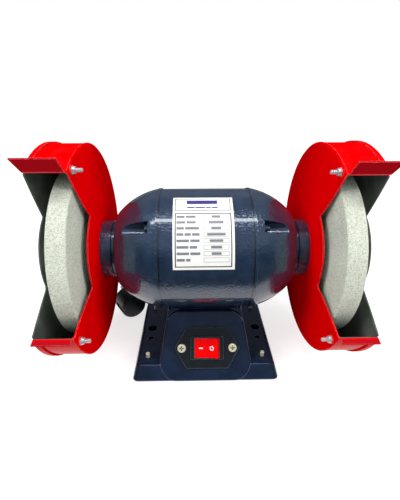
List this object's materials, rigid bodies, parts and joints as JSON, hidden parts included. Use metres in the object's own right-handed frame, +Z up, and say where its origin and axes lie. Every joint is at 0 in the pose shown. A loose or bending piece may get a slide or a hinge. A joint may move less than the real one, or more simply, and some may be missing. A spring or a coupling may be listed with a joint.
{
  "type": "bench grinder",
  "caption": "Bench grinder: a barrel motor on a cast pedestal base drives a grinding wheel at each end, inside red sheet guards with open mouths, with a rocker switch and a coiled mains lead.",
  "frame": {"origin": "on the bench, under the middle of the shaft", "axes": "+Z up, +X along the shaft to the operator's right, -Y towards the operator"},
  "size_m": [0.355, 0.3239, 0.2722],
  "materials": {
    "navy_paint": "glossy hammered dark blue enamel",
    "navy_base": "glossy dark blue enamel on a casting",
    "red_guard": "glossy red enamel on steel sheet",
    "abrasive": "vitrified grey-green aluminium oxide grit, matt",
    "bright_steel": "turned and bright zinc-plated steel",
    "yellow_zinc": "yellowish zinc-plated steel",
    "lamination": "stacked electrical sheet",
    "winding": "varnished copper wire",
    "die_cast": "cast aluminium",
    "black_plastic": "fine-grained black plastic",
    "red_plastic": "glossy red plastic",
    "pale_plastic": "pale moulded plastic",
    "black_rubber": "soft black rubber",
    "blotter_card": "pressed card washers",
    "label_film": "white film sticker",
    "brass_contact": "bare brass"
  },
  "bodies": {
    "stand": {"motor_shell": "navy_paint", "end_bell_left": "navy_paint", "end_bell_right": "navy_paint", "base_casting": "navy_base", "guard_left": "red_guard", "guard_right": "red_guard", "guard_cover_left": "red_guard", "guard_cover_right": "red_guard", "through_bolts": "bright_steel", "through_bolt_nuts": "bright_steel", "cover_nuts": "bright_steel", "bearing_outer_left": "bright_steel", "bearing_outer_right": "bright_steel", "wave_washer": "bright_steel", "foot_screws": "bright_steel", "saddle_screws": "bright_steel", "bottom_plate_screws": "bright_steel", "guard_mount_screws": "bright_steel", "capacitor_clip": "bright_steel", "base_bottom_plate": "bright_steel", "cover_screws": "yellow_zinc", "switch_plate_screws": "yellow_zinc", "earth_screw": "yellow_zinc", "stator_core": "lamination", "stator_windings": "winding", "capacitor": "die_cast", "switch_plate": "black_plastic", "switch_housing": "black_plastic", "strain_relief": "black_plastic", "plug_body": "black_plastic", "terminal_block": "pale_plastic", "rubber_feet": "black_rubber", "cord_lead": "black_rubber", "cord_coil": "black_rubber", "cord_tail": "black_rubber", "wiring_leads": "black_rubber", "rating_label": "label_film", "switch_terminals": "brass_contact", "plug_pins": "brass_contact"},
    "spindle": {"shaft": "bright_steel", "rotor_core": "lamination", "rotor_end_rings": "die_cast", "bearing_inner_left": "bright_steel", "bearing_inner_right": "bright_steel", "inner_flange_left": "bright_steel", "inner_flange_right": "bright_steel", "wheel_left": "abrasive", "wheel_right": "abrasive", "wheel_bush_left": "black_plastic", "wheel_bush_right": "black_plastic", "wheel_blotters": "blotter_card", "outer_flange_left": "bright_steel", "outer_flange_right": "bright_steel", "shaft_nut_left": "bright_steel", "shaft_nut_right": "bright_steel"},
    "ball_cage_left": {"bearing_cage_left": "bright_steel", "bearing_balls_left": "bright_steel"},
    "ball_cage_right": {"bearing_cage_right": "bright_steel", "bearing_balls_right": "bright_steel"},
    "rocker": {"rocker_button": "red_plastic"}
  },
  "joints": [
    {"name": "spindle_spin", "type": "hinge", "parent": "stand", "child": "spindle", "pos_m": [0, 0, 0.147], "axis": [1, 0, 0], "continuous": true},
    {"name": "cage_left_roll", "type": "hinge", "parent": "stand", "child": "ball_cage_left", "pos_m": [-0.092, 0, 0.147], "axis": [1, 0, 0], "continuous": true},
    {"name": "cage_right_roll", "type": "hinge", "parent": "stand", "child": "ball_cage_right", "pos_m": [0.091, 0, 0.147], "axis": [1, 0, 0], "continuous": true},
    {"name": "rocker_tilt", "type": "hinge", "parent": "stand", "child": "rocker", "pos_m": [0.002, -0.05575, 0.03639], "axis": [0, 0.5547, 0.8321], "range_deg": [0, 24]}
  ],
  "couplings": [
    {"joint": "cage_left_roll", "follows": "spindle_spin", "ratio": 0.38246},
    {"joint": "cage_right_roll", "follows": "spindle_spin", "ratio": 0.38246}
  ]
}
